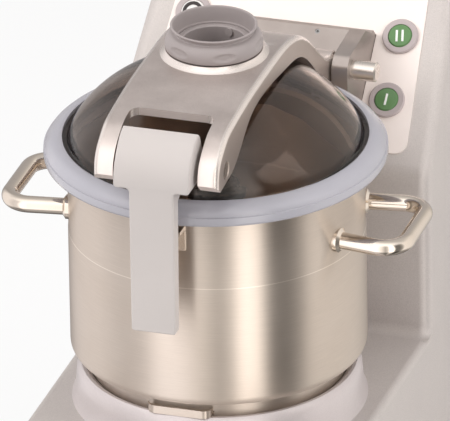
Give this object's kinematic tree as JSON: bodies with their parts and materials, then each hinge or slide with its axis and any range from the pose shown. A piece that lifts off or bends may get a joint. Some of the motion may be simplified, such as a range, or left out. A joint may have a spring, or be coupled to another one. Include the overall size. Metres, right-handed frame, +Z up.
{
  "type": "bowl cutter",
  "caption": "Bench-top bowl cutter: cast motor base with a sloped console, lift-off stainless bowl with sickle blades, and a domed lid on a hinged arm with a front latch lever",
  "frame": {"origin": "on the ground under the middle of the machine's outer box", "axes": "+X to the machine's right as seen from the front, where the start buttons are, +Y from front to back, +Z up"},
  "size_m": [0.413, 0.568, 0.6566],
  "materials": {
    "silver_paint": "fine-textured silver-grey paint",
    "panel_enamel": "smooth pale enamel, half gloss",
    "cast_aluminium": "blasted cast aluminium, edges brighter",
    "brushed_stainless": "brushed stainless steel, grain around the bowl",
    "polished_stainless": "polished stainless steel",
    "fasteners": "zinc-plated steel",
    "blade_steel": "ground stainless blade steel",
    "bearing_steel": "ground bearing steel",
    "lamination_steel": "varnished electrical steel",
    "winding_copper": "varnished copper wire",
    "galvanised_steel": "galvanised sheet steel",
    "rubber_black": "matt black rubber",
    "seal_silicone": "satin lilac-grey silicone",
    "grey_plastic": "matt mid-grey moulded plastic",
    "bearing_plastic": "natural acetal",
    "black_plastic": "black moulded plastic",
    "clear_plastic": "clear smoke-tinted polycarbonate",
    "green_button": null,
    "pale_button": null
  },
  "bodies": {
    "base": {"housing": "silver_paint", "service_cover": "brushed_stainless", "service_screws": "fasteners", "bottom_plate": "galvanised_steel", "feet": "rubber_black", "cable_gland": "black_plastic", "control_panel": "panel_enamel", "button_bezels": "grey_plastic", "contact_blocks": "black_plastic", "electrical_plate": "galvanised_steel", "contactors": "black_plastic", "terminal_block": "black_plastic", "lid_switch": "black_plastic", "seat_ring": "silver_paint", "seat_ring_screws": "fasteners", "motor_flange": "cast_aluminium", "flange_bolts": "fasteners", "motor_frame": "cast_aluminium", "stator_core": "lamination_steel", "windings": "winding_copper", "motor_end_shield": "cast_aluminium", "bearings": "bearing_steel", "shaft_seal": "rubber_black", "hinge_bracket": "cast_aluminium", "bracket_bolts": "fasteners", "grub_screw": "fasteners", "hinge_pin": "polished_stainless", "bowl_shell": "brushed_stainless", "bowl_tube": "brushed_stainless", "bowl_skirt": "brushed_stainless", "bowl_tab": "brushed_stainless", "bowl_handles": "polished_stainless", "handle_collars": "polished_stainless", "latch_keeper": "brushed_stainless"},
    "rotor": {"motor_shaft": "polished_stainless", "rotor_core": "lamination_steel", "cooling_fan": "black_plastic", "blade_hub": "black_plastic", "blades": "blade_steel", "blade_cap": "black_plastic"},
    "lid": {"lid_arm": "cast_aluminium", "hinge_bushes": "bearing_plastic", "lid_magnet": "bearing_steel", "wiper_bush": "bearing_plastic", "dome": "clear_plastic", "dome_clamp": "brushed_stainless", "dome_screws": "fasteners", "lid_seal": "seal_silicone", "latch_pin": "polished_stainless"},
    "lever": {"latch_lever": "grey_plastic", "latch_hook": "brushed_stainless"},
    "wiper": {"wiper_knob": "grey_plastic", "wiper_tube": "grey_plastic", "knob_screws": "fasteners", "wiper_arm": "bearing_plastic", "wiper_strip": "seal_silicone"},
    "stop_button": {"button_stop": "pale_button"},
    "button_one_body": {"button_one": "green_button"},
    "button_two_body": {"button_two": "green_button"}
  },
  "joints": [
    {"name": "lid_hinge", "type": "hinge", "parent": "base", "child": "lid", "pos_m": [0, 0.107, 0.532], "axis": [-1, 0, 0], "range_deg": [0, 85]},
    {"name": "lever_pivot", "type": "hinge", "parent": "lid", "child": "lever", "pos_m": [0, -0.242, 0.585], "axis": [-1, 0, 0], "range_deg": [0, 90]},
    {"name": "wiper_turn", "type": "hinge", "parent": "lid", "child": "wiper", "pos_m": [0, -0.08, 0.61], "axis": [0, 0, 1], "continuous": true},
    {"name": "blade_turn", "type": "hinge", "parent": "base", "child": "rotor", "pos_m": [0, -0.08, 0.26], "axis": [0, 0, 1], "continuous": true},
    {"name": "stop_press", "type": "slide", "parent": "base", "child": "stop_button", "axis": [0, 0.6947, -0.7193], "range_m": [0, 0.003], "stiffness_N_per_m": 500, "springref_m": -0.002},
    {"name": "speed_one_press", "type": "slide", "parent": "base", "child": "button_one_body", "axis": [0, 0.6947, -0.7193], "range_m": [0, 0.003], "stiffness_N_per_m": 500, "springref_m": -0.002},
    {"name": "speed_two_press", "type": "slide", "parent": "base", "child": "button_two_body", "axis": [0, 0.6947, -0.7193], "range_m": [0, 0.003], "stiffness_N_per_m": 500, "springref_m": -0.002}
  ]
}
